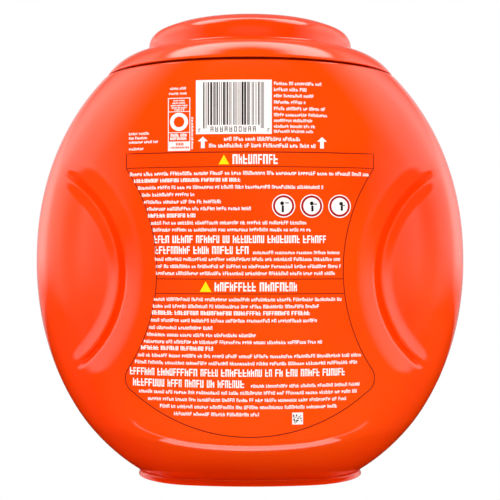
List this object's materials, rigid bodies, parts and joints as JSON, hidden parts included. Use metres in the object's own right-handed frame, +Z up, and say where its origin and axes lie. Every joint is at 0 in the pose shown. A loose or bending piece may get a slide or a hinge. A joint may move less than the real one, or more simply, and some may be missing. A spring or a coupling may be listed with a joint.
{
  "type": "laundry pod tub",
  "caption": "Bellied plastic tub with a small foot, side finger grips, printed panels and a domed twist-off lid with a raised round disc.",
  "frame": {"origin": "middle of the foot's underside, on the surface that the tub stands on", "axes": "+Z up along the lid's axis, -Y out of the printed back panel, +X to the right as that panel is seen"},
  "size_m": [0.2382, 0.1588, 0.2514],
  "materials": {
    "tub_plastic": "gloss",
    "lid_plastic": "gloss",
    "seal_foam": "soft foam",
    "print_film": "gloss film",
    "code_film": "gloss film"
  },
  "bodies": {
    "tub": {"tub": "tub_plastic", "tub_neck": "tub_plastic", "back_print_film": "print_film", "front_print_film": "print_film", "code_print_film": "code_film"},
    "seal": {"seal_ring": "seal_foam"},
    "lid": {"lid": "lid_plastic"}
  },
  "joints": [
    {"name": "lid_rise", "type": "slide", "parent": "tub", "child": "seal", "axis": [0, 0, 1], "range_m": [0, 0.0226]},
    {"name": "lid_turn", "type": "hinge", "parent": "seal", "child": "lid", "pos_m": [0, 0, 0.23], "axis": [0, 0, 1], "range_deg": [0, 450]}
  ],
  "couplings": [
    {"joint": "lid_rise", "follows": "lid_turn", "m_per_rad": 0.0028648}
  ]
}
